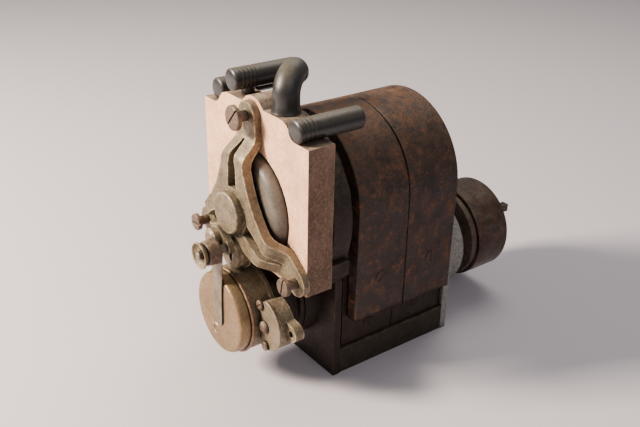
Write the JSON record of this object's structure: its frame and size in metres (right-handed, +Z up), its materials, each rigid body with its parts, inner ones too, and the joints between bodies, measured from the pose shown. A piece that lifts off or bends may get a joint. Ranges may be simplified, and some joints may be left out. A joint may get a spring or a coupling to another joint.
{
  "type": "ignition magneto",
  "caption": "Horseshoe-magnet ignition magneto with geared high-tension distributor, adjustable contact breaker, lead sleeves and a pegged drive coupling.",
  "frame": {"origin": "centre of the base's underside, below the armature", "axes": "+Z up; +Y along the shaft towards the drive coupling; the contact breaker is at -Y"},
  "size_m": [0.115, 0.2422, 0.2007],
  "materials": {
    "magnet_steel": "rust-brown magnet steel",
    "dark_iron": "dark oiled iron",
    "cast_case": "dark cast bronze, dirty",
    "cast_aluminium": "grey cast",
    "bright_steel": "worn steel",
    "rusty_steel": "rusty steel",
    "fibre": "pink-buff pressed fibre",
    "ebonite": "black vulcanised rubber",
    "grey_vulcanite": "grey moulded vulcanite",
    "dull_brass": "dusty dull brass",
    "cap_lacquer": "faded tan lacquer",
    "copper_wire": "varnished copper wire",
    "carbon": "carbon"
  },
  "bodies": {
    "frame": {"base_plate": "cast_case", "pole_piece_left": "dark_iron", "pole_piece_right": "dark_iron", "tunnel_cover": "dull_brass", "magnet_front": "magnet_steel", "magnet_rear": "magnet_steel", "front_end_plate": "cast_case", "front_cover": "cast_case", "rear_end_plate": "cast_aluminium", "rear_bearing_cap": "cast_aluminium", "front_bearing": "bright_steel", "rear_bearing": "bright_steel", "distributor_bush": "dull_brass", "distributor_block": "fibre", "lead_sleeve_left": "ebonite", "lead_sleeve_middle": "ebonite", "lead_sleeve_right": "ebonite", "lead_sleeve_upright": "ebonite", "spider_bracket": "dull_brass", "spider_screw_1": "rusty_steel", "spider_screw_2": "rusty_steel", "spider_screw_3": "rusty_steel", "oiler_boss": "dull_brass", "terminal_stud": "bright_steel", "terminal_barrel": "rusty_steel", "hightension_bar": "ebonite", "brush_holder": "ebonite"},
    "armature": {"armature_core": "dark_iron", "armature_winding": "copper_wire", "front_shaft": "dull_brass", "rear_shaft": "dull_brass", "condenser": "dark_iron", "slip_ring": "ebonite", "pinion_gear": "bright_steel", "coupling_flange": "rusty_steel", "coupling_drum": "rusty_steel", "coupling_peg": "rusty_steel", "breaker_disc": "dull_brass", "breaker_screw": "bright_steel", "fixed_contact": "bright_steel"},
    "distributor": {"distributor_gear": "dull_brass", "distributor_shaft": "bright_steel", "distributor_rotor": "grey_vulcanite", "rotor_electrode": "dull_brass"},
    "timing": {"breaker_housing": "dull_brass", "breaker_cap": "cap_lacquer", "cam_ring": "bright_steel", "timing_lug_cover": "dull_brass", "lug_screw_1": "rusty_steel", "lug_screw_2": "rusty_steel", "lug_screw_3": "rusty_steel"},
    "rocker": {"rocker_arm": "bright_steel", "rocker_spring": "bright_steel"},
    "clip": {"clip_spring": "bright_steel"},
    "thumb_nut": {"terminal_nut": "dull_brass"},
    "brush": {"collector_brush": "carbon", "brush_spring": "bright_steel"}
  },
  "joints": [
    {"name": "armature_spin", "type": "hinge", "parent": "frame", "child": "armature", "pos_m": [0, 0, 0.045], "axis": [0, 1, 0], "continuous": true},
    {"name": "distributor_spin", "type": "hinge", "parent": "frame", "child": "distributor", "pos_m": [0, 0, 0.111], "axis": [0, 1, 0], "continuous": true},
    {"name": "timing_turn", "type": "hinge", "parent": "frame", "child": "timing", "pos_m": [0, 0, 0.045], "axis": [0, 1, 0], "range_deg": [-15, 15]},
    {"name": "rocker_lift", "type": "hinge", "parent": "armature", "child": "rocker", "pos_m": [-0.011, -0.0887, 0.039], "axis": [0, 1, 0], "range_deg": [0, 4], "stiffness_Nm_per_rad": 0.02, "springref_deg": -17.19},
    {"name": "clip_swing", "type": "hinge", "parent": "frame", "child": "clip", "pos_m": [0.0025, -0.1044, 0.09], "axis": [0, 1, 0], "range_deg": [-80, 80]},
    {"name": "nut_turn", "type": "hinge", "parent": "frame", "child": "thumb_nut", "pos_m": [0.0025, -0.1145, 0.09], "axis": [0, -1, 0], "range_deg": [0, 720]},
    {"name": "brush_slide", "type": "slide", "parent": "frame", "child": "brush", "axis": [0, 0, 1], "range_m": [0, 0.003], "stiffness_N_per_m": 100, "springref_m": -0.01, "deforming": ["brush_spring"]}
  ],
  "couplings": [
    {"joint": "distributor_spin", "follows": "armature_spin", "ratio": -0.5}
  ]
}
